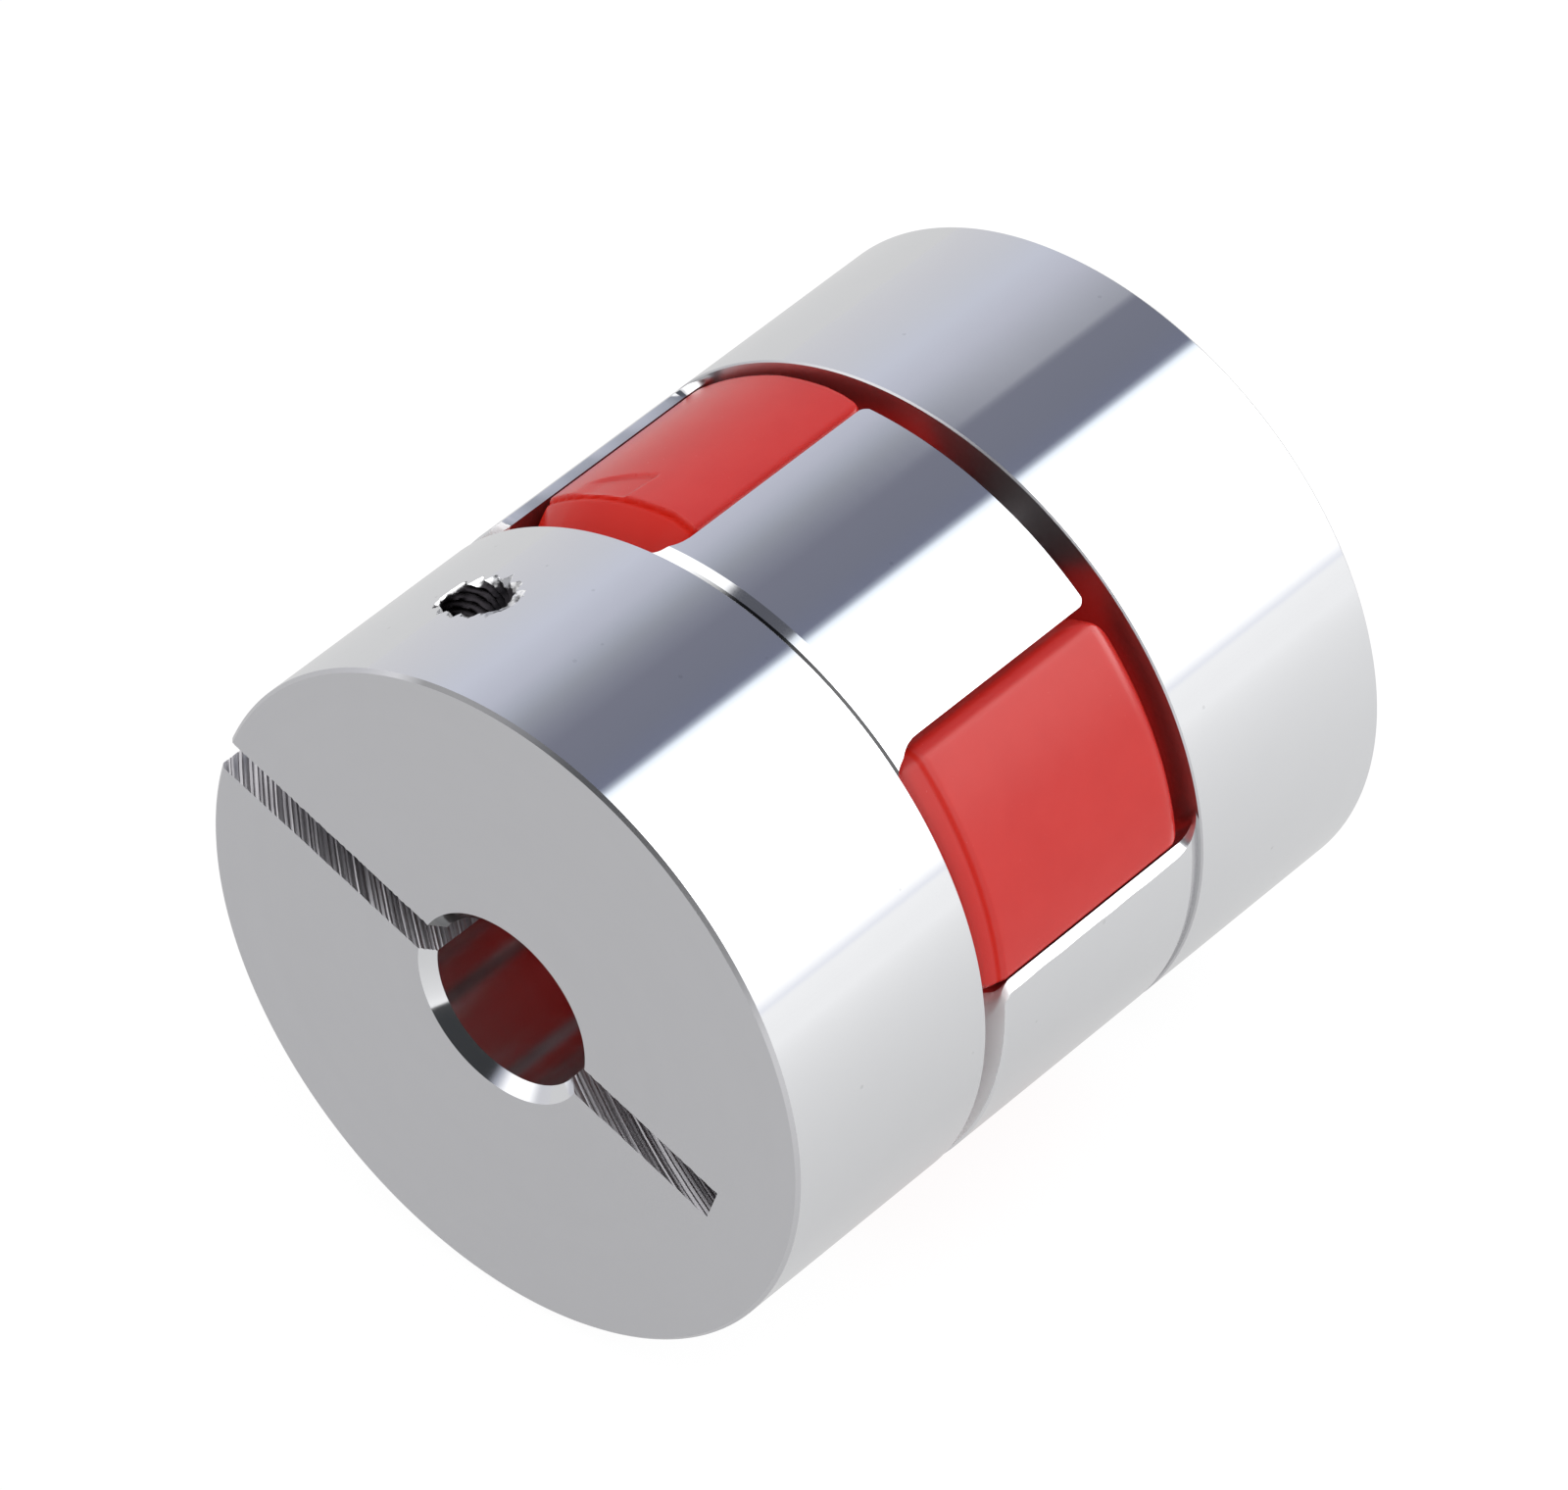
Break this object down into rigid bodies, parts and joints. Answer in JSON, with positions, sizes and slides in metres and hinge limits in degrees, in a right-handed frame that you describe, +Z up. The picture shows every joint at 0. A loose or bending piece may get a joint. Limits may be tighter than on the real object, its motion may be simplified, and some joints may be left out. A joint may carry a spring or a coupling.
{
  "type": "jaw coupling",
  "caption": "Zero-backlash clamping jaw coupling: slit aluminium hubs with axial jaws grip a red elastomer star between two shafts.",
  "frame": {"origin": "middle of the coupling, on the shaft axis, halfway between the two end faces", "axes": "+X along the shaft axis from the driver hub to the driven hub, +Z up"},
  "size_m": [0.035, 0.03, 0.03],
  "materials": {
    "hub_aluminium": "turned and polished outside, finely faced ends",
    "spider_polyurethane": "satin moulded polyurethane, slightly translucent",
    "screw_steel": "black oxide on alloy steel, lightly oiled"
  },
  "bodies": {
    "driver_side": {"driver_hub": "hub_aluminium"},
    "star": {"spider": "spider_polyurethane"},
    "driven_side": {"driven_hub": "hub_aluminium"},
    "driver_screw": {"driver_clamp_screw": "screw_steel"},
    "driven_screw": {"driven_clamp_screw": "screw_steel"}
  },
  "joints": [
    {"name": "spider_twist", "type": "hinge", "parent": "driver_side", "child": "star", "pos_m": [0, 0, 0], "axis": [1, 0, 0], "range_deg": [-0.75, 0.75]},
    {"name": "driven_hub_slide", "type": "slide", "parent": "star", "child": "driven_side", "axis": [1, 0, 0], "range_m": [-0.0002, 0.0125]},
    {"name": "driver_screw_travel", "type": "slide", "parent": "driver_side", "child": "driver_screw", "axis": [0, 0.3256, -0.9455], "range_m": [0, 0.0075]},
    {"name": "driven_screw_travel", "type": "slide", "parent": "driven_side", "child": "driven_screw", "axis": [0, 0.9455, 0.3256], "range_m": [0, 0.0075]}
  ]
}
